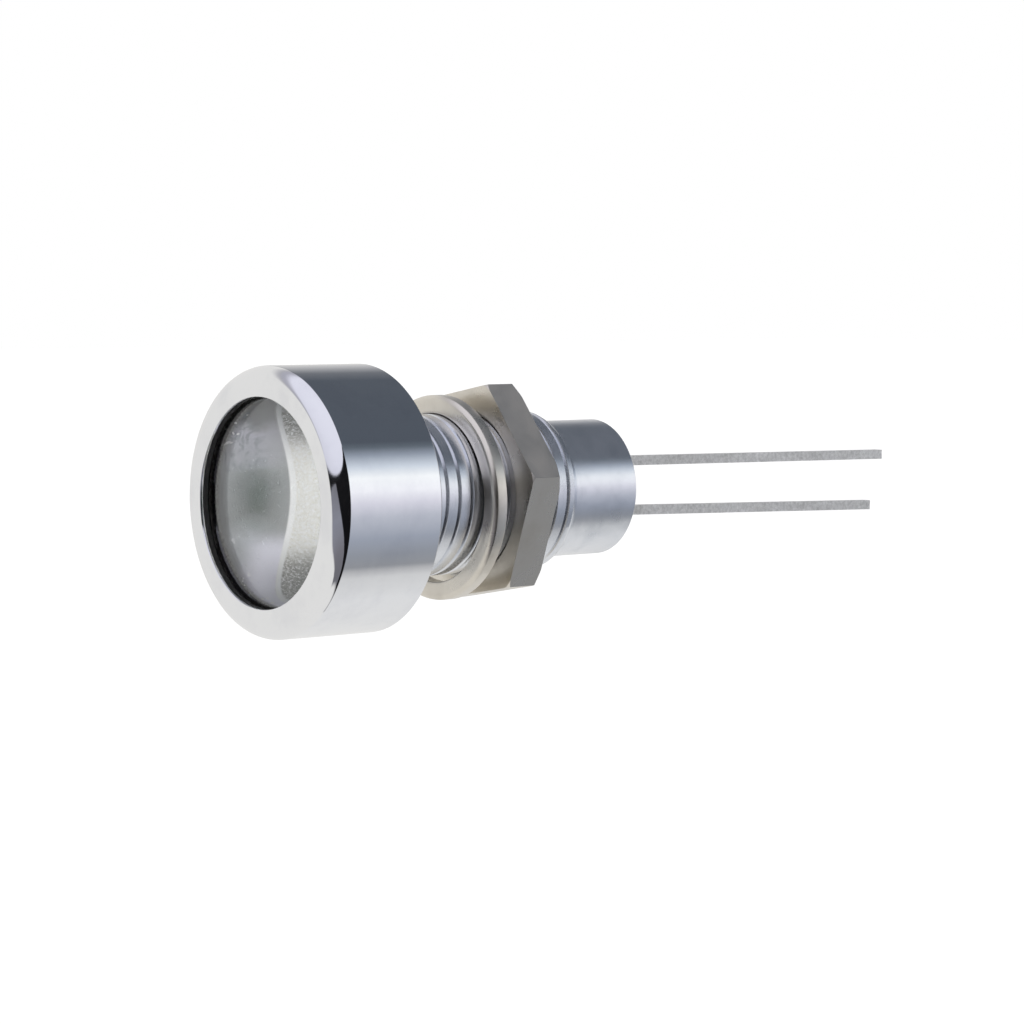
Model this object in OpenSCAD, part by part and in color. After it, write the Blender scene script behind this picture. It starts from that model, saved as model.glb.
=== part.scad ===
// Panel pilot light: a turned metal bezel with a threaded shank, a clear lens over a
// reflector, a lamp potted in the shank, and the lock washer and hex nut that clamp it.
// Millimetres. The axis runs along Y: the lens looks along -Y and the leads leave along +Y.
// The origin is the middle of the face that seats on the panel. +Z is up.

/* [Bezel head] */
// Diameter of the head
head_d = 13; // [11.6:0.1:16]
// Length of the head in front of the panel
head_len = 6; // [5.6:0.1:8]
// Radius of the head's front edge
head_edge_r = 0.72; // [0.2:0.02:0.8]
// Chamfer round the face that seats on the panel
seat_chamfer = 0.12; // [0.05:0.01:0.3]
// Width of the head's front ring, from its side to the opening for the lens
ring_w = 1.47; // [1.2:0.01:2]
// Thickness of the rolled front lip
lip_t = 0.14; // [0.1:0.02:0.3]
// How far the recess runs outward behind the lip
lip_overhang = 0.36; // [0.2:0.02:0.5]
// Thickness of the web between the recess and the seat face
web_t = 0.9; // [0.6:0.1:1.5]

/* [Threaded shank] */
// Outside diameter of the thread
thread_d = 7.95; // [7.5:0.05:9]
// Pitch of the thread
thread_pitch = 0.75; // [0.5:0.05:1]
// Depth of the thread's grooves
thread_depth = 0.2; // [0.1:0.02:0.36]
// Share of the pitch that the flat crests take up
crest_share = 0.7; // [0.2:0.05:0.8]
// Distance from the seat face to the end of the full thread
thread_end = 10.1; // [9.4:0.1:12]
// Depth of the relief groove between the thread and the head
relief_depth = 0.45; // [0.2:0.05:0.5]
// Distance from the seat face to the thread's first crest
relief_len = 0.8; // [0.6:0.05:1.2]
// How far the undercut in the seat face reaches out past the thread
undercut_reach = 0.2; // [0.1:0.05:0.4]
// Depth of that undercut
undercut_depth = 0.15; // [0.05:0.05:0.3]
// Diameter of the plain barrel behind the thread
barrel_d = 6.87; // [6.6:0.01:7.3]
// Distance from the seat face to the end of the barrel
shank_len = 14.7; // [13:0.1:18]
// Chamfer at the end of the barrel
barrel_chamfer = 0.15; // [0.05:0.01:0.2]

/* [Lens and seal] */
// Thickness of the lens at its edge
lens_t = 1.3; // [0.8:0.1:1.8]
// Height of the crown in the middle of the lens
lens_crown = 0.35; // [0.1:0.05:0.5]
// Thickness of the black seal between the lens and the lip
seal_t = 0.28; // [0.2:0.02:0.6]

/* [Reflector] */
// Width of the flat rim that the lens sits on
reflector_rim = 0.45; // [0.2:0.05:0.8]
// Clearance between the lamp and the hole in the reflector
reflector_gap = 0.15; // [0.05:0.05:0.4]

/* [Lamp] */
// Diameter of the lamp body
lamp_d = 4.9; // [4.6:0.1:5.1]
// Length of the lamp body over its dome
lamp_len = 8.6; // [8:0.1:9.4]
// Diameter of the flange at the base of the lamp
flange_d = 5.8; // [5.5:0.05:5.9]
// Thickness of that flange
flange_t = 1; // [0.6:0.1:1.4]
// Distance from the seat face to the shoulder that the flange sits on
shoulder_y = 6; // [5.5:0.1:7]

/* [Leads] */
// Width of the square leads
lead_w = 0.5; // [0.4:0.05:0.6]
// Distance between the two leads
lead_pitch = 2.54; // [2.2:0.02:2.8]
// Length of the upper lead behind the barrel
anode_len = 20.6; // [10:0.1:30]
// Length of the lower lead behind the barrel
cathode_len = 19.7; // [10:0.1:30]
// Angle that the upper lead droops by
anode_droop = 0.9; // [0:0.1:5]
// Angle that the lower lead droops by
cathode_droop = 1.6; // [0:0.1:5]

/* [Lock washer] */
// Outside diameter of the washer
washer_od = 10.1; // [9.6:0.1:12]
// Clearance between the washer and the thread all round
washer_clearance = 0.175; // [0.1:0.005:0.3]
// Thickness of the washer
washer_t = 0.8; // [0.5:0.05:1.2]
// Radius of the washer's outer front edge
washer_edge_r = 0.26; // [0.1:0.02:0.4]
// Chamfer of the washer's inner front edge
washer_inner_chamfer = 0.12; // [0.05:0.01:0.3]
// Distance from the seat face to the washer
washer_y = 4.2; // [1:0.1:5]

/* [Hex nut] */
// Width of the nut across its flats
nut_af = 10; // [9.8:0.1:12]
// Thickness of the nut
nut_t = 1.8; // [1.4:0.02:2.4]
// Chamfer at the corners of the nut's front face
nut_front_chamfer = 0.14; // [0.1:0.02:0.5]
// Chamfer at the corners of the nut's rear face
nut_rear_chamfer = 0.36; // [0.1:0.02:0.5]
// Countersink at both ends of the nut's bore
nut_countersink = 0.25; // [0.1:0.05:0.4]
// Gap between the washer and the nut
nut_gap = 1.12; // [0.2:0.02:2]
// Angle of the nut's first corner above the level
nut_angle = 10; // [-30:1:30]

/* [Hidden] */

// Smoothness of round parts
$fn = 96;
// Overshoot of a cut past the face that it opens
cut = 1;
// Radial clearance of the pieces that are fixed in the head and the shank
fit_gap = 0.02;
// Radial running clearance of the nut on the thread, and of the washer where it hangs
thread_gap = 0.03;
hang_gap = 0.015;

// Radii and places of the head and the shank
head_r = head_d / 2;
thread_r = thread_d / 2;
barrel_r = barrel_d / 2;
aperture_r = head_r - ring_w;
recess_r = aperture_r + lip_overhang;
front_y = -head_len;
floor_y = -web_t;
groove_r = thread_r - relief_depth;
undercut_r = thread_r + undercut_reach;
runout_len = 0.8 * thread_pitch;
crest_len = crest_share * thread_pitch;
groove_len = thread_pitch - crest_len;
ridge_count = floor((thread_end - relief_len) / thread_pitch);
lamp_bore_r = lamp_d / 2 + 0.1;
pot_bore_r = flange_d / 2 + 0.08;

// The stack behind the lip: seal, lens, reflector
seal_y = front_y + lip_t;
lens_y = seal_y + seal_t;
reflector_y = lens_y + lens_t;
crown_r = (pow(aperture_r, 2) + pow(lens_crown, 2)) / (2 * lens_crown);

// The reflector's bowl, a parabola from the rim of its mouth to the lamp's hole
bowl_mouth_r = recess_r - fit_gap - reflector_rim;
bowl_foot_r = lamp_d / 2 + reflector_gap;
bowl_depth = floor_y - reflector_y;
bowl_steps = 14;

// The lamp and what is cast into it
base_y = shoulder_y + flange_t;
lamp_r = lamp_d / 2;
tip_y = base_y - lamp_len;
chip_w = 0.32;
chip_t = 0.16;
cup_r = 0.42;
cup_depth = 0.3;
frame_depth = 3.1;
frame_y = tip_y + frame_depth;
frame_len = 2.4;
post_w = 0.8;
anvil_reach = 0.32;
wire_r = 0.03;
chip_y = frame_y + cup_depth - chip_t;
post_z = lead_pitch / 2 + lead_w / 2 - post_w;
wire_loop_r = (post_z + post_w / 2) / 2;
lead_z = lead_pitch / 2;
meniscus = 0.25;
bend_y = shank_len + meniscus + 0.3;

// The nut and the washer
washer_r = washer_od / 2;
washer_bore_r = thread_r + washer_clearance;
washer_drop = washer_clearance - hang_gap;
nut_y = washer_y + washer_t + nut_gap;
nut_bore_r = thread_r + thread_gap;
nut_corner_r = nut_af / 2 / cos(30);
// Angle of the nut's chamfers to its faces
nut_chamfer_angle = 30;

// Turns a profile, drawn with its radius along X and its length along Y, about the Y axis
module turned() {
    rotate([-90, 0, 0])
        rotate_extrude()
            children();
}

// Ring profile from radius r0 to r1 and from y0 to y1
module ring(r0, r1, y0, y1) {
    translate([r0, y0])
        square([r1 - r0, y1 - y0]);
}

// What a chamfer of size c takes off the rear edge at radius r and place y
module chamfer_cut(r, y, c) {
    polygon([[r - c, y], [r + cut, y], [r + cut, y - c], [r, y - c]]);
}

// What an edge radius takes off the front edge at radius r and place y
module front_round_cut(r, y, edge_r) {
    difference() {
        translate([r - edge_r, y - cut])
            square([edge_r + cut, edge_r + cut]);
        translate([r - edge_r, y + edge_r])
            circle(edge_r);
    }
}

// The head: a cup for the lens and the reflector, with a web that the shank stands on
module bezel_head() {
    color("silver")
        turned()
            difference() {
                ring(lamp_bore_r, head_r, front_y, 0);
                front_round_cut(head_r, front_y, head_edge_r);
                chamfer_cut(head_r, 0, seat_chamfer);
                ring(0, aperture_r, front_y - cut, seal_y + cut);
                ring(0, recess_r, seal_y, floor_y);
                ring(0, undercut_r, -undercut_depth, cut);
            }
}

// Crests and grooves at the thread's pitch, from the relief groove to the run-out
module thread_profile() {
    ridges = [for (i = [0 : ridge_count - 1])
        let (y = relief_len + i * thread_pitch)
        each [[thread_r, y], [thread_r, y + crest_len],
              [thread_r - thread_depth, y + crest_len + groove_len / 2]]];
    last_y = relief_len + ridge_count * thread_pitch;
    polygon(concat([[0, -undercut_depth], [groove_r, -undercut_depth],
                    [groove_r, relief_len - relief_depth]],
                   ridges,
                   [[thread_r, last_y], [thread_r, thread_end],
                    [barrel_r, thread_end + runout_len], [0, thread_end + runout_len]]));
}

// The tube behind the head: thread, plain barrel, a bore for the lamp and one for the potting
module threaded_shank() {
    color("silver")
        turned()
            difference() {
                union() {
                    thread_profile();
                    difference() {
                        ring(0, barrel_r, thread_end, shank_len);
                        chamfer_cut(barrel_r, shank_len, barrel_chamfer);
                    }
                }
                ring(0, lamp_bore_r, -cut, shank_len);
                ring(0, pot_bore_r, shoulder_y, shank_len + cut);
            }
}

module lens_seal() {
    color([0.09, 0.09, 0.1])
        turned()
            ring(aperture_r, recess_r - fit_gap, seal_y, lens_y);
}

// A flat disc under the seal, with a shallow crown that fills the opening
module lens() {
    crown_centre = lens_y - lens_crown + crown_r;
    color([0.9, 0.93, 0.94, 0.4])
        turned()
            union() {
                ring(0, recess_r - fit_gap, lens_y, reflector_y);
                intersection() {
                    translate([0, crown_centre])
                        circle(crown_r, $fn = 360);
                    ring(0, aperture_r, lens_y - lens_crown, lens_y + lens_t / 2);
                }
            }
}

function bowl_r(y) = sqrt(pow(bowl_foot_r, 2)
    + (pow(bowl_mouth_r, 2) - pow(bowl_foot_r, 2)) * (floor_y - y) / bowl_depth);

module reflector() {
    bowl = [for (i = [0 : bowl_steps])
        let (y = reflector_y + bowl_depth * i / bowl_steps) [bowl_r(y), y]];
    outer_r = recess_r - fit_gap;
    color([0.82, 0.81, 0.78])
        turned()
            polygon(concat(bowl, [[outer_r, floor_y], [outer_r, reflector_y]]));
}

// A square bar of the leads' section from y0 to y1, at height z
module lead_bar(z, y0, y1) {
    translate([-lead_w / 2, y0, z - lead_w / 2])
        cube([lead_w, y1 - y0, lead_w]);
}

// The bar of a lead behind its bend: it droops by an angle
module drooping_bar(z, droop, length) {
    translate([0, bend_y, z - lead_w / 2])
        rotate([-droop, 0, 0])
            translate([-lead_w / 2, 0, 0])
                cube([lead_w, length, lead_w]);
}

// The upper lead: a post inside the lamp, a straight run through the potting, a bare end
module anode_shape() {
    union() {
        translate([-lead_w / 2, chip_y, post_z])
            cube([lead_w, frame_len, post_w]);
        lead_bar(lead_z, chip_y, bend_y + lead_w / 4);
        drooping_bar(lead_z, anode_droop, anode_len + shank_len - bend_y);
    }
}

// The lower lead: an anvil with a cup for the chip, and the same run and end
module cathode_shape() {
    anvil_z = -lead_z - lead_w / 2;
    difference() {
        union() {
            translate([-lead_w / 2, frame_y, anvil_z])
                cube([lead_w, frame_len, anvil_reach - anvil_z]);
            rotate([-90, 0, 0])
                translate([0, 0, frame_y])
                    cylinder(h = cup_depth + 0.2, r = cup_r);
            lead_bar(-lead_z, frame_y, bend_y + lead_w / 4);
            drooping_bar(-lead_z, cathode_droop, cathode_len + shank_len - bend_y);
        }
        rotate([-90, 0, 0])
            translate([0, 0, frame_y - cut])
                cylinder(h = cup_depth + cut, r = cup_r - 0.12);
    }
}

module anode_lead() {
    color([0.78, 0.78, 0.77])
        anode_shape();
}

module cathode_lead() {
    color([0.78, 0.78, 0.77])
        cathode_shape();
}

module chip_shape() {
    translate([-chip_w / 2, chip_y, -chip_w / 2])
        cube([chip_w, chip_t, chip_w]);
}

module lamp_chip() {
    color([0.85, 0.75, 0.3])
        chip_shape();
}

// Half a loop from the middle of the chip to the middle of the post
module wire_shape() {
    translate([0, chip_y, wire_loop_r])
        rotate([0, 90, 0])
            rotate([0, 0, 180])
                rotate_extrude(angle = 180, $fn = 48)
                    translate([wire_loop_r, 0])
                        circle(wire_r, $fn = 16);
}

module bond_wire() {
    color([0.9, 0.75, 0.35])
        wire_shape();
}

module lamp_profile() {
    union() {
        ring(0, lamp_r, tip_y + lamp_r, base_y);
        ring(0, flange_d / 2, shoulder_y, base_y);
        intersection() {
            translate([0, tip_y + lamp_r])
                circle(lamp_r);
            ring(0, lamp_r, tip_y, tip_y + lamp_r);
        }
    }
}

// Clear resin cast round the two leads, the chip and its wire
module lamp_body() {
    color([0.88, 0.9, 0.88, 0.5])
        difference() {
            turned()
                lamp_profile();
            anode_shape();
            cathode_shape();
            chip_shape();
            wire_shape();
        }
}

// Resin that fills the barrel behind the lamp and swells a little past its end
module potting() {
    pot_r = pot_bore_r - fit_gap;
    swell_r = (pow(pot_r, 2) + pow(meniscus, 2)) / (2 * meniscus);
    color([0.75, 0.72, 0.66])
        difference() {
            turned()
                union() {
                    ring(0, pot_r, base_y, shank_len);
                    intersection() {
                        translate([0, shank_len + meniscus - swell_r])
                            circle(swell_r, $fn = 360);
                        ring(0, pot_r, shank_len - cut, shank_len + meniscus);
                    }
                }
            anode_shape();
            cathode_shape();
        }
}

// A ring with a rounded front edge, hanging on the thread
module lock_washer() {
    color([0.75, 0.72, 0.66])
        translate([0, 0, -washer_drop])
            turned()
                difference() {
                    ring(washer_bore_r, washer_r, washer_y, washer_y + washer_t);
                    front_round_cut(washer_r, washer_y, washer_edge_r);
                    polygon([[washer_bore_r - cut, washer_y - cut],
                             [washer_bore_r + washer_inner_chamfer + cut, washer_y - cut],
                             [washer_bore_r - cut, washer_y + washer_inner_chamfer + cut]]);
                }
}

// What is left of the nut's blank after both faces are chamfered and the bore countersunk
module nut_limits() {
    reach = 0.2;
    outer_r = nut_corner_r + reach;
    front_rise = (nut_front_chamfer + reach) * tan(nut_chamfer_angle);
    rear_rise = (nut_rear_chamfer + reach) * tan(nut_chamfer_angle);
    turned()
        polygon([[nut_bore_r, nut_y + nut_countersink],
                 [nut_bore_r + nut_countersink, nut_y],
                 [nut_corner_r - nut_front_chamfer, nut_y],
                 [outer_r, nut_y + front_rise],
                 [outer_r, nut_y + nut_t - rear_rise],
                 [nut_corner_r - nut_rear_chamfer, nut_y + nut_t],
                 [nut_bore_r + nut_countersink, nut_y + nut_t],
                 [nut_bore_r, nut_y + nut_t - nut_countersink]]);
}

module hex_nut() {
    color([0.7, 0.68, 0.63])
        intersection() {
            translate([0, nut_y, 0])
                rotate([-90, -nut_angle, 0])
                    linear_extrude(nut_t)
                        circle(nut_corner_r, $fn = 6);
            nut_limits();
        }
}

bezel_head();
threaded_shank();
lens_seal();
lens();
reflector();
lamp_body();
lamp_chip();
bond_wire();
anode_lead();
cathode_lead();
potting();
lock_washer();
hex_nut();
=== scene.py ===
import math

import bmesh
import bpy
from mathutils import Matrix, Vector


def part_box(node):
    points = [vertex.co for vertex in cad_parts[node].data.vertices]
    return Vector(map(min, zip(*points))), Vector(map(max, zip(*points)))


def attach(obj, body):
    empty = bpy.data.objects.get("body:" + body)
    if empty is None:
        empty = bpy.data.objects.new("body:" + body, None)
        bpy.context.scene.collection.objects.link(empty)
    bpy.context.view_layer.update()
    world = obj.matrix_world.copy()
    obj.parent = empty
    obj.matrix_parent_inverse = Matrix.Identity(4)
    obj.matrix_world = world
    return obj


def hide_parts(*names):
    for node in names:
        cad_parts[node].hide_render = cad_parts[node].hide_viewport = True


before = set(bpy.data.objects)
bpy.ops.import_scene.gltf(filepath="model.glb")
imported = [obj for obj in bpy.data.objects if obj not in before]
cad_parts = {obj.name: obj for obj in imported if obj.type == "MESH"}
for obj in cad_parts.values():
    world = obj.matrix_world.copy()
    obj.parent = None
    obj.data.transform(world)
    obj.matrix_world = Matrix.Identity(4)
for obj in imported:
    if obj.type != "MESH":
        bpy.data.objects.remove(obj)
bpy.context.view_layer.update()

# ---------------------------------------------------------------- sizes
# Lengths are in metres. The light's axis runs along +Y through the origin, which is the
# middle of the face that seats on the panel.
MM = 0.001
TURN = 2 * math.pi
FLANGE_T = 1 * MM

head_low, head_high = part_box("bezel_head")
shank_low, shank_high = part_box("threaded_shank")
lens_low, lens_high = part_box("lens")
seal_low, seal_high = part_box("lens_seal")
reflector_low, reflector_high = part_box("reflector")
potting_low, potting_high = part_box("potting")
lamp_low, lamp_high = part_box("lamp_body")
washer_low, washer_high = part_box("lock_washer")
nut_low, nut_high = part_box("hex_nut")


def radii(node, y0, y1, centre_z=0.0):
    """Smallest and largest radius of a CAD node's corners between two places on the axis."""
    found = [math.hypot(v.co.x, v.co.z - centre_z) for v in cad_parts[node].data.vertices
             if y0 - 1e-6 <= v.co.y <= y1 + 1e-6]
    return min(found), max(found)


HEAD_R = head_high.x
FRONT_Y = head_low.y
SHANK_Y = shank_high.y
WASHER_Z = (washer_low.z + washer_high.z) / 2
THREAD_R = shank_high.x
BARREL_R = radii("threaded_shank", SHANK_Y - 0.5 * MM, SHANK_Y)[1]
APERTURE_R = radii("lens_seal", seal_low.y, seal_high.y)[0]
BORE_R = radii("bezel_head", reflector_high.y, reflector_high.y + 0.1 * MM)[0]
POT_BORE_R = potting_high.x
SHOULDER_Y = lamp_high.y - FLANGE_T
WASHER_BORE_R, WASHER_R = radii("lock_washer", washer_low.y, washer_high.y, WASHER_Z)
NUT_BORE_R, NUT_CORNER_R = radii("hex_nut", nut_low.y, nut_high.y)

HEAD_EDGE_R = 0.72 * MM
SEAT_CHAMFER = 0.12 * MM
LIP_EDGE_R = 0.05 * MM
UNDERCUT_REACH = 0.2 * MM
UNDERCUT_DEPTH = 0.15 * MM
RELIEF_DEPTH = 0.45 * MM
PITCH = 0.75 * MM
THREAD_START_Y = 0.8 * MM
THREAD_END_Y = 10.1 * MM
RUNOUT = 0.8 * PITCH
THREAD_DEPTH = 0.2 * MM
CREST_SHARE = 0.7
BARREL_CHAMFER = 0.15 * MM
LENS_EDGE_R = 0.04 * MM
REFLECTOR_RIM = 0.45 * MM
WASHER_EDGE_R = 0.26 * MM
WASHER_INNER_CHAMFER = 0.12 * MM
WASHER_EASE = 0.06 * MM
NUT_FRONT_CHAMFER = 0.14 * MM
NUT_REAR_CHAMFER = 0.36 * MM
NUT_CHAMFER_ANGLE = math.radians(30)
NUT_COUNTERSINK = 0.25 * MM

# Turned pieces have STEPS steps round the axis, and each flat of the nut has FLAT_STEPS
STEPS = 256
FLAT_STEPS = 36
# Corners that lie closer together than this are one
MERGE = 0.001 * MM


# ---------------------------------------------------------------- mesh tools
def new_piece(name, verts, faces, material, smooth_angle=30):
    """A closed piece with outward faces, and smooth shading that breaks at sharper edges."""
    mesh = bpy.data.meshes.new(name)
    mesh.from_pydata(verts, [], faces)
    clean(mesh)
    mesh.materials.append(material)
    mesh.shade_smooth()
    mesh.set_sharp_from_angle(angle=math.radians(smooth_angle))
    piece = bpy.data.objects.new(name, mesh)
    bpy.context.scene.collection.objects.link(piece)
    return piece


def clean(mesh):
    """Merges corners that fall together, drops faces without area and turns the rest outward."""
    work = bmesh.new()
    work.from_mesh(mesh)
    bmesh.ops.remove_doubles(work, verts=work.verts, dist=MERGE)
    bmesh.ops.dissolve_degenerate(work, edges=work.edges, dist=MERGE / 2)
    bmesh.ops.recalc_face_normals(work, faces=work.faces)
    work.to_mesh(mesh)
    work.free()


def arc(cx, cy, r, a0, a1, steps):
    """Points (radius, y) along an arc; the angles are in degrees, 0 outward and 90 towards +Y."""
    return [(cx + r * math.cos(math.radians(a0 + (a1 - a0) * i / steps)),
             cy + r * math.sin(math.radians(a0 + (a1 - a0) * i / steps)))
            for i in range(steps + 1)]


def turned(name, profile, material, closed=True, centre_z=0.0):
    """Turns a profile of (radius, y) points about the Y axis.

    A point on the axis becomes one corner. An open profile starts and ends on the axis.
    """
    verts, rings = [], []
    for r, y in profile:
        if r < 1e-9:
            rings.append([len(verts)] * STEPS)
            verts.append((0.0, y, centre_z))
        else:
            rings.append(range(len(verts), len(verts) + STEPS))
            verts += [(r * math.cos(TURN * k / STEPS), y, centre_z + r * math.sin(TURN * k / STEPS))
                      for k in range(STEPS)]
    faces = []
    pairs = list(zip(rings, rings[1:])) + ([(rings[-1], rings[0])] if closed else [])
    for a, b in pairs:
        for k in range(STEPS):
            after = (k + 1) % STEPS
            loop = [a[k], a[after], b[after], b[k]]
            face = [v for i, v in enumerate(loop) if v != loop[i - 1]]
            if len(face) > 2:
                faces.append(face)
    return new_piece(name, verts, faces, material)


# ---------------------------------------------------------------- material tools
class Nodes:
    """Short calls for building one shader."""

    def __init__(self, tree):
        self.tree = tree

    def add(self, kind, **values):
        node = self.tree.nodes.new(kind)
        for key, value in values.items():
            setattr(node, key, value)
        return node

    def join(self, source, target):
        self.tree.links.new(source, target)

    def feed(self, socket, value):
        """Joins a socket to another one, or sets it to a constant."""
        if isinstance(value, bpy.types.NodeSocket):
            self.join(value, socket)
        else:
            socket.default_value = value

    def math(self, operation, *values):
        node = self.add("ShaderNodeMath", operation=operation)
        for socket, value in zip(node.inputs, values):
            self.feed(socket, value)
        return node.outputs[0]

    def plus(self, a, b):
        return self.math("ADD", a, b)

    def times(self, a, b):
        return self.math("MULTIPLY", a, b)

    def length(self, a, b):
        """The length of the vector (a, b)."""
        squares = self.plus(self.math("POWER", a, 2.0), self.math("POWER", b, 2.0))
        return self.math("SQRT", squares)

    def split(self, vector):
        """The x, y and z of a vector."""
        node = self.add("ShaderNodeSeparateXYZ")
        self.join(vector, node.inputs[0])
        return node.outputs

    def remap(self, value, a0, a1, b0, b1, smooth=False):
        """Maps a0 to b0 and a1 to b1, and holds still outside a0 to a1."""
        kind = "SMOOTHSTEP" if smooth else "LINEAR"
        node = self.add("ShaderNodeMapRange", interpolation_type=kind)
        for socket, v in zip(node.inputs[:5], (value, a0, a1, b0, b1)):
            self.feed(socket, v)
        return node.outputs[0]

    def noise(self, vector, scale, detail=3.0, rough=0.5, distortion=0.0):
        node = self.add("ShaderNodeTexNoise")
        self.join(vector, node.inputs["Vector"])
        node.inputs["Scale"].default_value = scale
        node.inputs["Detail"].default_value = detail
        node.inputs["Roughness"].default_value = rough
        node.inputs["Distortion"].default_value = distortion
        return node.outputs["Fac"]

    def stretched(self, scale=(1, 1, 1)):
        """The object's own coordinates, stretched by a factor along each axis."""
        place = self.add("ShaderNodeTexCoord").outputs["Object"]
        node = self.add("ShaderNodeMapping")
        self.join(place, node.inputs["Vector"])
        node.inputs["Scale"].default_value = scale
        return node.outputs["Vector"]

    def ramp(self, value, stops):
        """Colours by a value, from a list of (value, colour)."""
        node = self.add("ShaderNodeValToRGB")
        elements = node.color_ramp.elements
        while len(elements) > 1:
            elements.remove(elements[-1])
        for i, (position, colour) in enumerate(stops):
            element = elements[0] if i == 0 else elements.new(position)
            element.position = position
            element.color = (*colour, 1.0)
        self.join(value, node.inputs[0])
        return node.outputs["Color"]

    def mix(self, factor, a, b):
        """Colour a where the factor is 0, and b where it is 1."""
        node = self.add("ShaderNodeMix", data_type="RGBA")
        self.feed(node.inputs["Factor"], factor)
        self.feed(node.inputs["A"], (*a, 1.0) if isinstance(a, tuple) else a)
        self.feed(node.inputs["B"], (*b, 1.0) if isinstance(b, tuple) else b)
        return node.outputs["Result"]

    def bump(self, height, distance):
        node = self.add("ShaderNodeBump")
        node.inputs["Strength"].default_value = 1.0
        node.inputs["Distance"].default_value = distance
        self.join(height, node.inputs["Height"])
        return node.outputs["Normal"]


def new_material(name):
    """A material with a Principled shader, and the tools to feed it."""
    material = bpy.data.materials.new(name)
    material.use_nodes = True
    nodes = Nodes(material.node_tree)
    return material, nodes, material.node_tree.nodes["Principled BSDF"]


def plated(name, colour, dull, roughness, line_depth, grain_depth):
    """Plated turned metal: fine lines round the axis, grain, and duller cloudy patches."""
    material, n, shader = new_material(name)
    shader.inputs["Metallic"].default_value = 1.0
    lines = n.noise(n.stretched((30, 9000, 30)), 1.0, detail=4.0, rough=0.7)
    grain = n.noise(n.stretched(), 14000.0, detail=2.0)
    cloud = n.noise(n.stretched(), 420.0, detail=4.0, rough=0.6)
    patch = n.remap(cloud, 0.42, 0.72, 0.0, 1.0, smooth=True)
    n.join(n.mix(patch, colour, dull), shader.inputs["Base Color"])
    n.join(n.remap(cloud, 0.3, 0.7, roughness * 0.75, roughness * 1.35), shader.inputs["Roughness"])
    height = n.plus(n.times(lines, line_depth), n.times(grain, grain_depth))
    n.join(n.bump(height, 0.01 * MM), shader.inputs["Normal"])
    return material


chrome = plated("chrome", (0.86, 0.87, 0.89), (0.80, 0.81, 0.84), 0.05, 0.08, 0.03)
thread_chrome = plated("thread_chrome", (0.80, 0.82, 0.86), (0.70, 0.73, 0.78), 0.22, 0.3, 0.1)
nickel = plated("nickel", (0.75, 0.715, 0.65), (0.68, 0.645, 0.58), 0.30, 0.12, 0.10)


def clear_material(name, tint, ior, roughness):
    """Clear plastic or resin with a slightly uneven polish."""
    material, n, shader = new_material(name)
    shader.inputs["Base Color"].default_value = (*tint, 1.0)
    shader.inputs["Transmission Weight"].default_value = 1.0
    shader.inputs["IOR"].default_value = ior
    haze = n.noise(n.stretched(), 900.0, detail=3.0)
    n.join(n.remap(haze, 0.35, 0.75, roughness * 0.5, roughness * 1.6), shader.inputs["Roughness"])
    return material


lens_clear = clear_material("lens_clear", (0.97, 0.98, 0.98), 1.49, 0.012)
lamp_clear = clear_material("lamp_clear", (0.93, 0.96, 0.93), 1.54, 0.02)


def tone(code, glare=0.0, loss=0.0):
    """A linear colour from the usual six-digit code, less what glass in front adds and takes."""
    parts = [int(code[i:i + 2], 16) / 255 for i in (0, 2, 4)]
    linear = [c / 12.92 if c < 0.04 else ((c + 0.055) / 1.055) ** 2.4 for c in parts]
    return tuple(min(0.98, max(0.0, (c - glare) / (1 - loss))) for c in linear)


def behind_lens(code):
    """The colour that a reflector needs to look like the code through the lens."""
    return tone(code, glare=0.08, loss=0.36)


# Half the width and height of the reflector's grainy foot, in mm
FOOT_HALF_WIDTH = 3.27
FOOT_HALF_HEIGHT = 4.65


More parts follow.
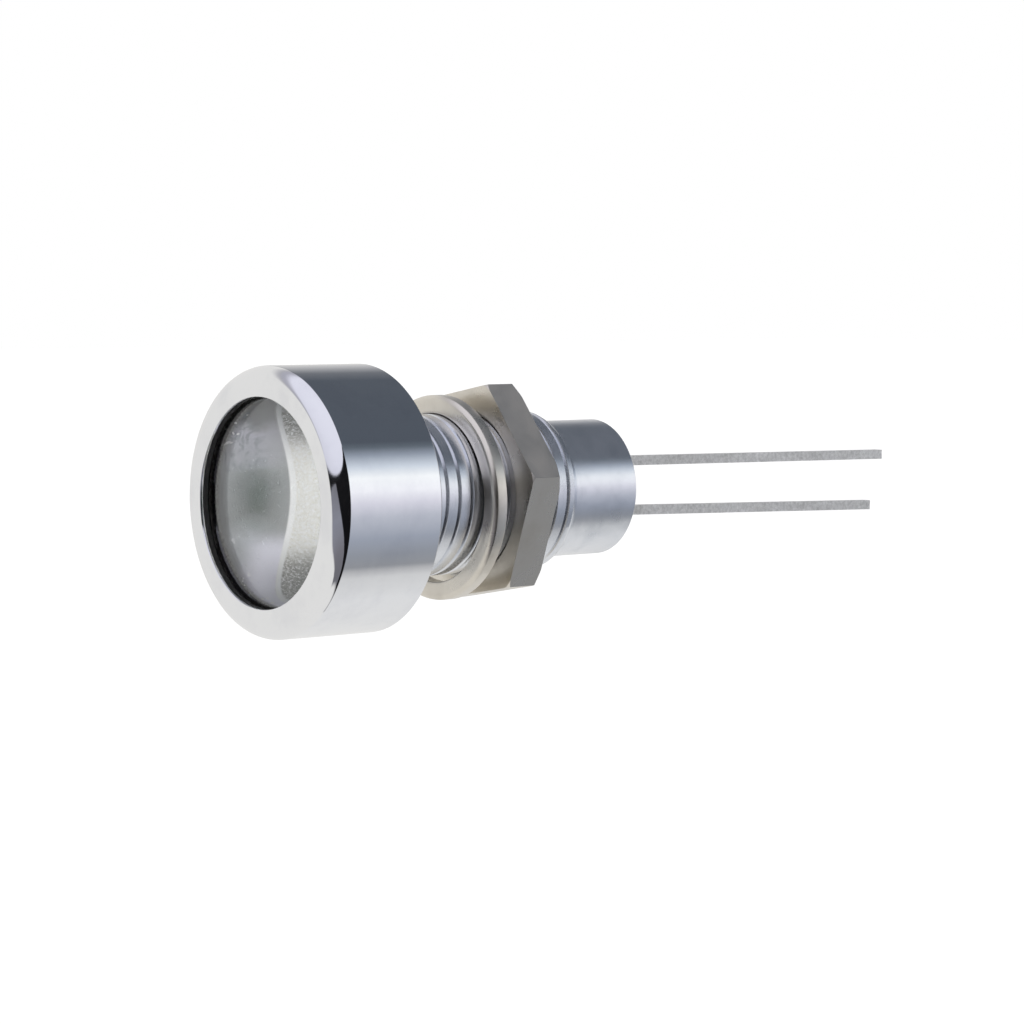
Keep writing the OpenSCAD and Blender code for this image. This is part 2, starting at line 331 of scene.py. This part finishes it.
def bright_reflector_material():
    """Metallised plastic, with the bench it mirrors painted into its colour: a painted dark middle
    between two painted pale lamp reflections, and a painted highlight on the edge round its
    grainy foot."""
    material, n, shader = new_material("bright_reflector")
    shader.inputs["Metallic"].default_value = 1.0
    x, _, z = n.split(n.stretched((1 / MM, 1 / MM, 1 / MM)))
    fine = n.noise(n.stretched((1, 1.7, 1)), 8000.0, detail=4.0, rough=0.75)
    soft = n.noise(n.stretched(), 900.0, detail=3.0)
    swirl = n.noise(n.stretched((1, 1, 0.5)), 1500.0, detail=4.0, distortion=2.5)
    # How far out a point lies, on ellipses about the axis: 1 on the painted highlight at the foot
    out = n.length(n.math("DIVIDE", x, FOOT_HALF_WIDTH), n.math("DIVIDE", z, FOOT_HALF_HEIGHT))
    height = n.plus(z, n.remap(soft, 0.3, 0.7, -0.35, 0.35))
    # Painted reflections by height: two pale lamp reflections with a dark middle between them
    lights = n.ramp(n.remap(height, -5.0, 5.0, 0.0, 1.0), [
        (0.03, behind_lens("6c6c6d")), (0.12, behind_lens("929197")), (0.22, behind_lens("8e9195")),
        (0.29, behind_lens("a6aaae")), (0.33, behind_lens("8e9294")), (0.40, behind_lens("666c69")),
        (0.52, behind_lens("59625f")), (0.60, behind_lens("757b7a")), (0.66, behind_lens("979a9f")),
        (0.78, behind_lens("b4b4bc")), (0.82, behind_lens("a6a6ab")), (0.86, behind_lens("7c7d7f")),
        (0.95, behind_lens("6c6c6c"))])
    # Paler painted reflection far out, and just outside the foot
    lights = n.mix(n.remap(out, 1.13, 1.50, 0.0, 0.8, smooth=True), lights, behind_lens("a5a6a9"))
    lights = n.mix(n.remap(out, 1.22, 1.00, 0.0, 0.55, smooth=True), lights, behind_lens("a9a9ac"))
    # A painted lilac reflection low down beside the foot
    painted_lilac_reflection = n.times(n.remap(z, -1.4, -2.5, 0.0, 1.0, smooth=True),
                        n.remap(out, 1.32, 1.08, 0.0, 1.0, smooth=True))
    lights = n.mix(painted_lilac_reflection, lights, behind_lens("cfced8"))
    # Darker swirls in the painted reflection above the foot
    swirls = n.times(n.remap(swirl, 0.40, 0.60, -1.0, 1.0),
                     n.times(n.remap(z, 0.8, 1.6, 0.0, 1.0, smooth=True),
                             n.remap(out, 1.05, 1.2, 0.0, 1.0, smooth=True)))
    lights = n.mix(n.times(n.math("MAXIMUM", swirls, 0.0), 0.6), lights, behind_lens("80848a"))
    # The grainy foot, its grain painted pale as lit sparkle and darker towards top and bottom,
    # and the painted highlight on the edge round it
    grain = n.remap(fine, 0.34, 0.62, 0.0, 1.0)
    foot = n.mix(grain, behind_lens("c4c2ba"), behind_lens("e6e4de"))
    dark_grain = n.times(n.remap(fine, 0.60, 0.48, 0.0, 1.0),
                         n.remap(n.math("ABSOLUTE", z), 2.0, 3.2, 0.0, 1.0, smooth=True))
    foot = n.mix(dark_grain, foot, behind_lens("8e8d88"))
    lights = n.mix(n.remap(out, 1.005, 0.985, 0.0, 1.0, smooth=True), lights, foot)
    # Painted highlight: a thin bright line on the edge round the foot
    from_edge = n.math("ABSOLUTE", n.math("SUBTRACT", out, 0.985))
    edge = n.remap(from_edge, 0.022, 0.008, 0.0, 1.0, smooth=True)
    lights = n.mix(edge, lights, behind_lens("e9e9e8"))
    # The flat rim under the lens, mottled
    radius = n.length(x, z)
    rim = n.mix(n.remap(fine, 0.35, 0.65, 0.0, 1.0), behind_lens("747474"), behind_lens("a6a6a6"))
    lights = n.mix(n.remap(radius, 4.80, 4.90, 0.0, 1.0), lights, rim)
    speck = n.noise(n.stretched(), 2600.0, detail=1.0)
    specks = n.times(n.remap(speck, 0.66, 0.70, 0.0, 1.0), n.remap(radius, 4.55, 4.7, 0.0, 1.0))
    lights = n.mix(specks, lights, behind_lens("d8d8d8"))
    n.join(lights, shader.inputs["Base Color"])
    n.join(n.remap(fine, 0.3, 0.7, 0.25, 0.45), shader.inputs["Roughness"])
    n.join(n.bump(fine, 0.006 * MM), shader.inputs["Normal"])
    return material


def ground_edge_material():
    """The moulded side of the lens, which shows as a mottled grey band through its front."""
    material, n, shader = new_material("ground_edge")
    fine = n.noise(n.stretched(), 5200.0, detail=4.0, rough=0.75)
    shader.inputs["Metallic"].default_value = 1.0
    mottle = n.mix(n.remap(fine, 0.36, 0.66, 0.0, 1.0), tone("9c9c9b"), tone("f0f0ee"))
    # Just behind the seal the side lies in shadow
    _, y, _ = n.split(n.stretched((1 / MM, 1 / MM, 1 / MM)))
    shadow = n.remap(y, -4.85, -4.55, 1.0, 0.0, smooth=True)
    n.join(n.mix(shadow, mottle, tone("303030")), shader.inputs["Base Color"])
    n.join(n.remap(fine, 0.3, 0.7, 0.35, 0.6), shader.inputs["Roughness"])
    n.join(n.bump(fine, 0.02 * MM), shader.inputs["Normal"])
    return material


def seal_material():
    """Black rubber with a few pale specks."""
    material, n, shader = new_material("black_seal")
    fine = n.noise(n.stretched(), 6000.0, detail=4.0, rough=0.7)
    speck = n.remap(fine, 0.68, 0.74, 0.0, 1.0)
    n.join(n.mix(speck, (0.022, 0.022, 0.023), (0.25, 0.25, 0.25)), shader.inputs["Base Color"])
    n.join(n.remap(fine, 0.3, 0.7, 0.35, 0.6), shader.inputs["Roughness"])
    n.join(n.bump(fine, 0.01 * MM), shader.inputs["Normal"])
    return material


def lead_material():
    """Dull tin plate with small dark and bright specks."""
    material, n, shader = new_material("tinned_lead")
    shader.inputs["Metallic"].default_value = 0.75
    fine = n.noise(n.stretched(), 5200.0, detail=4.0, rough=0.75)
    coarse = n.noise(n.stretched((1, 0.4, 1)), 1600.0, detail=3.0)
    n.join(n.mix(n.remap(fine, 0.35, 0.68, 0.0, 1.0), (0.60, 0.60, 0.59), (0.86, 0.86, 0.85)),
           shader.inputs["Base Color"])
    n.join(n.remap(coarse, 0.3, 0.7, 0.38, 0.6), shader.inputs["Roughness"])
    n.join(n.bump(fine, 0.02 * MM), shader.inputs["Normal"])
    return material


def potting_material():
    """Cured resin, uneven and slightly glossy."""
    material, n, shader = new_material("potting_resin")
    fine = n.noise(n.stretched(), 2500.0, detail=4.0)
    n.join(n.mix(n.remap(fine, 0.3, 0.7, 0.0, 1.0), (0.30, 0.26, 0.20), (0.45, 0.40, 0.33)),
           shader.inputs["Base Color"])
    n.join(n.remap(fine, 0.3, 0.7, 0.12, 0.3), shader.inputs["Roughness"])
    n.join(n.bump(fine, 0.03 * MM), shader.inputs["Normal"])
    return material


bright_reflector = bright_reflector_material()
ground_edge = ground_edge_material()
black_seal = seal_material()
tinned_lead = lead_material()
potting_resin = potting_material()
lamp_die = plated("lamp_die", (0.62, 0.58, 0.34), (0.50, 0.46, 0.28), 0.3, 0.1, 0.2)
gold_wire = plated("gold_wire", (0.88, 0.66, 0.28), (0.80, 0.58, 0.22), 0.2, 0.1, 0.1)


# ---------------------------------------------------------------- the pieces
def make_head():
    """The head: a cup with a rolled lip in front and a relieved seat behind."""
    recess_r = lens_high.x
    profile = [(APERTURE_R, seal_low.y)]
    profile += arc(APERTURE_R + LIP_EDGE_R, FRONT_Y + LIP_EDGE_R, LIP_EDGE_R, 180, 270, 5)
    profile += arc(HEAD_R - HEAD_EDGE_R, FRONT_Y + HEAD_EDGE_R, HEAD_EDGE_R, -90, 0, 32)
    profile += [(HEAD_R, -SEAT_CHAMFER), (HEAD_R - SEAT_CHAMFER, 0.0),
                (THREAD_R + UNDERCUT_REACH, 0.0), (THREAD_R + UNDERCUT_REACH, -UNDERCUT_DEPTH),
                (BORE_R, -UNDERCUT_DEPTH), (BORE_R, reflector_high.y),
                (recess_r, reflector_high.y), (recess_r, seal_low.y)]
    return turned("bezel_shell", profile, chrome)


def make_shank():
    """The tube behind the head. Its thread is a true helix, run out flat at both ends."""
    root_r = THREAD_R - RELIEF_DEPTH
    end_y = THREAD_END_Y + RUNOUT
    verts = []
    rows = []

    def row(point):
        """One row of corners; point gives the radius and y for a share of a turn."""
        first = len(verts)
        for k in range(STEPS + 1):
            r, y = point(k / STEPS)
            verts.append((r * math.cos(TURN * k / STEPS), y, r * math.sin(TURN * k / STEPS)))
        rows.append(range(first, first + STEPS + 1))

    def thread_point(turn_no, mark):
        """Crest and groove, eased into the relief groove in front and the barrel behind."""
        def point(share):
            y = THREAD_START_Y + (turn_no + mark + share) * PITCH
            y = min(max(y, THREAD_START_Y), end_y)
            groove = max(0.0, (mark - CREST_SHARE) / (1 - CREST_SHARE))
            r = THREAD_R - THREAD_DEPTH * (1 - abs(2 * groove - 1)) * (groove > 0)
            taper = min(1.0, max(0.0, (end_y - y) / RUNOUT))
            return min(r, BARREL_R + (THREAD_R - BARREL_R) * taper), y
        return point

    for r, y in ((BORE_R, -UNDERCUT_DEPTH), (root_r, -UNDERCUT_DEPTH),
                 (root_r, THREAD_START_Y - RELIEF_DEPTH)):
        row(lambda share, r=r, y=y: (r, y))
    groove_marks = [CREST_SHARE + (1 - CREST_SHARE) * i / 8 for i in range(8)]
    turns = math.ceil((end_y - THREAD_START_Y) / PITCH)
    for turn_no in range(-1, turns + 1):
        for mark in [0.0, 0.06, CREST_SHARE / 2, CREST_SHARE - 0.06] + groove_marks:
            row(thread_point(turn_no, mark))
    for r, y in ((BARREL_R, end_y), (BARREL_R, SHANK_Y - BARREL_CHAMFER),
                 (BARREL_R - BARREL_CHAMFER, SHANK_Y), (POT_BORE_R, SHANK_Y),
                 (POT_BORE_R, SHOULDER_Y), (BORE_R, SHOULDER_Y)):
        row(lambda share, r=r, y=y: (r, y))
    faces = [[a[k], a[k + 1], b[k + 1], b[k]]
             for a, b in zip(rows, rows[1:] + rows[:1]) for k in range(STEPS)]
    return new_piece("threaded_stem", verts, faces, thread_chrome, 28)


def make_lens():
    """A disc with a crowned front, clear but for its ground side."""
    crown = lens_low.y
    edge_y = seal_high.y
    sag = edge_y - crown
    crown_r = (APERTURE_R ** 2 + sag ** 2) / (2 * sag)
    half = math.degrees(math.asin(APERTURE_R / crown_r))
    profile = arc(0.0, crown + crown_r, crown_r, -90, -90 + half, 40)
    profile[0] = (0.0, crown)
    profile += [(lens_high.x - LENS_EDGE_R, edge_y), (lens_high.x, edge_y + LENS_EDGE_R),
                (lens_high.x, lens_high.y), (0.0, lens_high.y)]
    piece = turned("front_lens", profile, lens_clear, closed=False)
    piece.data.materials.append(ground_edge)
    for face in piece.data.polygons:
        if abs(face.normal.y) < 0.5:
            face.material_index = 1
    return piece


def make_reflector():
    """A bowl that narrows from its flat rim to its foot, as a parabola does."""
    mouth_r = lens_high.x - REFLECTOR_RIM
    foot_r = radii("reflector", reflector_high.y - 0.01 * MM, reflector_high.y)[0]
    depth = reflector_high.y - reflector_low.y
    steps = 64
    profile = [(lens_high.x, reflector_low.y), (mouth_r, reflector_low.y)]
    for i in range(steps + 1):
        t = i / steps
        profile.append((math.sqrt(foot_r ** 2 + (mouth_r ** 2 - foot_r ** 2) * (1 - t)),
                        reflector_low.y + depth * t))
    profile += [(lens_high.x, reflector_high.y)]
    return turned("bowl_reflector", profile, bright_reflector)


def make_lamp():
    """The lamp's clear dome and barrel on a flange."""
    lamp_r = radii("lamp_body", lamp_low.y, lamp_low.y + 3 * MM)[1]
    flange_r = lamp_high.x
    profile = arc(0.0, lamp_low.y + lamp_r, lamp_r, -90, 0, 32)
    profile[0] = (0.0, lamp_low.y)
    profile += [(lamp_r, lamp_high.y - FLANGE_T), (flange_r, lamp_high.y - FLANGE_T),
                (flange_r, lamp_high.y), (0.0, lamp_high.y)]
    return turned("lamp_dome", profile, lamp_clear, closed=False)


def make_potting():
    """The resin in the barrel, which swells a little out of its end."""
    sag = potting_high.y - SHANK_Y
    pot_r = potting_high.x
    swell_r = (pot_r ** 2 + sag ** 2) / (2 * sag)
    half = math.degrees(math.asin(pot_r / swell_r))
    profile = [(0.0, potting_low.y), (pot_r, potting_low.y)]
    profile += arc(0.0, potting_high.y - swell_r, swell_r, 90 - half, 90, 24)
    profile[-1] = (0.0, potting_high.y)
    return turned("potting_fill", profile, potting_resin, closed=False)


def make_washer():
    """A flat ring with a rounded front edge, eased behind."""
    y0, y1 = washer_low.y, washer_high.y
    profile = [(WASHER_BORE_R, y1 - WASHER_EASE), (WASHER_BORE_R, y0 + WASHER_INNER_CHAMFER)]
    profile += arc(WASHER_BORE_R + WASHER_INNER_CHAMFER, y0 + WASHER_INNER_CHAMFER,
                   WASHER_INNER_CHAMFER, 180, 270, 6)
    profile += arc(WASHER_R - WASHER_EDGE_R, y0 + WASHER_EDGE_R, WASHER_EDGE_R, -90, 0, 16)
    profile += arc(WASHER_R - WASHER_EASE, y1 - WASHER_EASE, WASHER_EASE, 0, 90, 5)
    profile += arc(WASHER_BORE_R + WASHER_EASE, y1 - WASHER_EASE, WASHER_EASE, 90, 180, 5)[:-1]
    return turned("spring_washer", profile, nickel, centre_z=WASHER_Z)


def make_nut():
    """A hexagon whose corners are cut by a cone on both faces, with a countersunk bore."""
    y0, y1 = nut_low.y, nut_high.y
    flat_r = NUT_CORNER_R * math.cos(math.pi / 6)
    first = next(math.atan2(v.co.z, v.co.x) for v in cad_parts["hex_nut"].data.vertices
                 if math.hypot(v.co.x, v.co.z) > NUT_CORNER_R - 0.01 * MM)
    front_r = NUT_CORNER_R - NUT_FRONT_CHAMFER
    rear_r = NUT_CORNER_R - NUT_REAR_CHAMFER
    slope = math.tan(NUT_CHAMFER_ANGLE)
    count = 6 * FLAT_STEPS
    verts = []
    for k in range(count):
        theta = first + TURN * k / count
        outer = flat_r / math.cos((TURN * k / count) % (TURN / 6) - TURN / 12)
        front_drop = max(0.0, outer - front_r) * slope
        rear_drop = max(0.0, outer - rear_r) * slope
        outline = [(NUT_BORE_R, y0 + NUT_COUNTERSINK), (NUT_BORE_R + NUT_COUNTERSINK, y0),
                   (min(front_r, outer), y0), (outer, y0 + front_drop), (outer, y1 - rear_drop),
                   (min(rear_r, outer), y1), (NUT_BORE_R + NUT_COUNTERSINK, y1),
                   (NUT_BORE_R, y1 - NUT_COUNTERSINK)]
        verts += [(r * math.cos(theta), y, r * math.sin(theta)) for r, y in outline]
    width = len(verts) // count
    faces = []
    for k in range(count):
        a, b = k * width, (k + 1) % count * width
        for i in range(width):
            j = (i + 1) % width
            faces.append([a + i, a + j, b + j, b + i])
    return new_piece("hexagon_nut", verts, faces, nickel, 12)


head = make_head()
shank = make_shank()
lens = make_lens()
reflector = make_reflector()
lamp = make_lamp()
potting = make_potting()
washer = make_washer()
nut = make_nut()

for piece, body, slot, node in (
        (head, "lamp", "chrome_bezel", "bezel_head"),
        (shank, "lamp", "chrome_bezel", "threaded_shank"),
        (lens, "lamp", "clear_lens", "lens"),
        (reflector, "lamp", "bright_reflector", "reflector"),
        (lamp, "lamp", "lamp_resin", "lamp_body"),
        (potting, "lamp", "potting_resin", "potting"),
        (washer, "washer", "nickel", "lock_washer"),
        (nut, "nut", "nickel", "hex_nut")):
    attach(piece, body)
    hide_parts(node)

for node, material in (("lens_seal", black_seal), ("lamp_chip", lamp_die), ("bond_wire", gold_wire),
                       ("anode_lead", tinned_lead), ("cathode_lead", tinned_lead)):
    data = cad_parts[node].data
    data.materials.clear()
    data.materials.append(material)


# ---------------------------------------------------------------- studio
def make_floor():
    """A pale floor below the light. What looks at it sees it a little brighter than it lights."""
    material = bpy.data.materials.new("floor")
    material.use_nodes = True
    n = Nodes(material.node_tree)
    n.tree.nodes.clear()
    path = n.add("ShaderNodeLightPath")
    looked_at = n.math("MAXIMUM", path.outputs["Is Camera Ray"],
                       n.math("MAXIMUM", path.outputs["Is Glossy Ray"],
                              path.outputs["Is Transmission Ray"]))
    diffuse = n.add("ShaderNodeBsdfDiffuse")
    n.join(n.mix(looked_at, (0.9, 0.9, 0.9), (1.15, 1.15, 1.15)), diffuse.inputs["Color"])
    out = n.add("ShaderNodeOutputMaterial")
    n.join(diffuse.outputs[0], out.inputs[0])
    half = 3.0
    level = -0.06
    mesh = bpy.data.meshes.new("floor")
    mesh.from_pydata([(-half, -half, level), (half, -half, level), (half, half, level),
                      (-half, half, level)], [], [[0, 1, 2, 3]])
    mesh.materials.append(material)
    floor = bpy.data.objects.new("floor", mesh)
    bpy.context.scene.collection.objects.link(floor)
    floor.visible_glossy = False


# What the metal mirrors behind the light, by the angle about its axis in degrees: 0 right,
# 90 up, 180 left, -90 down
PALE = (0.83, 0.82, 0.80)
REAR = ((-180, PALE), (-90, (0.80, 0.80, 0.80)), (-66, (0.69, 0.69, 0.69)),
        (-59, (0.50, 0.50, 0.51)), (-55, (0.32, 0.33, 0.35)), (-44, (0.31, 0.33, 0.37)),
        (-30, (0.36, 0.39, 0.46)),
        (-12, (0.55, 0.57, 0.64)), (0, (0.80, 0.79, 0.87)), (10, (1.04, 1.04, 1.08)),
        (21, (1.06, 1.08, 1.09)), (30, (0.70, 0.76, 0.84)), (40, (0.33, 0.37, 0.44)),
        (47, (0.13, 0.155, 0.185)), (52, (0.088, 0.103, 0.128)), (124, (0.098, 0.112, 0.135)),
        (139, (0.18, 0.19, 0.21)), (156, (0.50, 0.50, 0.51)), (180, PALE))
# In front and to the right of it: a pale lilac sheet above, a black gap, and a grey sheet below
# that ends above a pale bench. Each is a list of colours by height.
SHEET = ((0.0, (0.70, 0.70, 0.79)), (0.5, (0.80, 0.80, 0.90)), (1.0, (0.84, 0.84, 0.94)))
LOWER = ((0.0, (0.16, 0.16, 0.18)), (0.35, (0.19, 0.185, 0.21)), (0.75, (0.27, 0.275, 0.32)),
         (1.0, (0.20, 0.20, 0.225)))
BLACK = (0.007, 0.007, 0.008)


def make_world():
    """Even white light, a white backdrop, and the studio that mirroring surfaces show."""
    world = bpy.data.worlds.new("studio")
    bpy.context.scene.world = world
    world.use_nodes = True
    n = Nodes(world.node_tree)
    n.tree.nodes.clear()
    x, y, z = n.split(n.add("ShaderNodeTexCoord").outputs["Generated"])
    turn_share = n.plus(n.math("DIVIDE", n.math("ARCTAN2", z, x), TURN), 0.5)
    rear = n.ramp(turn_share, [((a + 180) / 360, c) for a, c in REAR])

    def edge(level, slope):
        """How far a direction lies above a border that climbs with the angle round the bench."""
        angle = n.math("MINIMUM", n.math("ARCTAN2", y, x), 0.6)
        return n.math("SUBTRACT", z, n.plus(n.times(angle, slope), level))

    above = edge(0.515, 0.2235)
    gap = edge(-0.55, -0.55)
    left = n.math("MINIMUM", n.plus(x, 0.1), 0.0)
    bench = n.math("MINIMUM", edge(-1.13, -0.51), n.plus(n.plus(z, 0.89), n.times(left, 1.2)))
    near = n.ramp(n.remap(z, -0.9, 0.1, 0.0, 1.0), LOWER)
    near = n.mix(n.remap(gap, -0.03, 0.02, 0.0, 1.0, smooth=True), near, BLACK)
    near = n.mix(n.remap(above, -0.075, -0.06, 0.0, 1.0, smooth=True), near, BLACK)
    near = n.mix(n.remap(above, -0.015, 0.02, 0.0, 1.0, smooth=True), near, n.ramp(z, SHEET))
    near = n.mix(n.remap(bench, -0.03, 0.03, 1.0, 0.0, smooth=True), near, PALE)
    # The sheet's shaded border, wider where it curves over the top
    wide = n.remap(z, 0.1, 0.7, 0.05, 0.16)
    border = n.math("DIVIDE", n.math("ABSOLUTE", n.plus(x, 0.60)), wide)
    shaded = n.times(n.remap(border, 1.0, 0.1, 0.0, 0.75, smooth=True),
                     n.remap(z, 0.03, 0.09, 0.0, 1.0, smooth=True))
    near = n.mix(n.remap(x, -0.64, -0.60, 0.0, 1.0, smooth=True), PALE, near)
    near = n.mix(shaded, near, (0.34, 0.335, 0.38))
    mirrored = n.mix(n.remap(y, 0.46, 0.53, 0.0, 1.0, smooth=True), near, rear)
    # A ray bent by the lens is both glossy and transmitted, so the backdrop is asked for last
    path = n.add("ShaderNodeLightPath")
    seen = n.mix(path.outputs["Is Glossy Ray"], (0.92, 0.92, 0.92), mirrored)
    backdrop = n.math("MAXIMUM", path.outputs["Is Camera Ray"], path.outputs["Is Transmission Ray"])
    seen = n.mix(backdrop, seen, (1.0, 1.0, 1.0))
    shade = n.add("ShaderNodeBackground")
    n.join(seen, shade.inputs["Color"])
    out = n.add("ShaderNodeOutputWorld")
    n.join(shade.outputs[0], out.inputs[0])


def make_camera():
    """Looks at the light from its front right, a little from above."""
    azimuth = math.radians(51.34)
    elevation = math.radians(4.13)
    distance = 0.150
    aim_right = 7.255 * MM
    aim_up = -0.670 * MM
    view_angle = math.radians(18.74)
    forward = Vector((-math.sin(azimuth) * math.cos(elevation),
                      math.cos(azimuth) * math.cos(elevation), -math.sin(elevation)))
    right = Vector((math.cos(azimuth), math.sin(azimuth), 0.0))
    up = right.cross(forward)
    data = bpy.data.cameras.new("camera")
    data.sensor_fit = "HORIZONTAL"
    data.sensor_width = 36.0
    data.angle = view_angle
    data.clip_start = 0.001
    data.clip_end = 50.0
    camera = bpy.data.objects.new("camera", data)
    bpy.context.scene.collection.objects.link(camera)
    place = right * aim_right + up * aim_up - forward * distance
    turn = Matrix((right, up, -forward)).transposed().to_4x4()
    camera.matrix_world = Matrix.Translation(place) @ turn
    bpy.context.scene.camera = camera


make_floor()
make_world()
make_camera()
bpy.context.scene.view_settings.view_transform = "Standard"
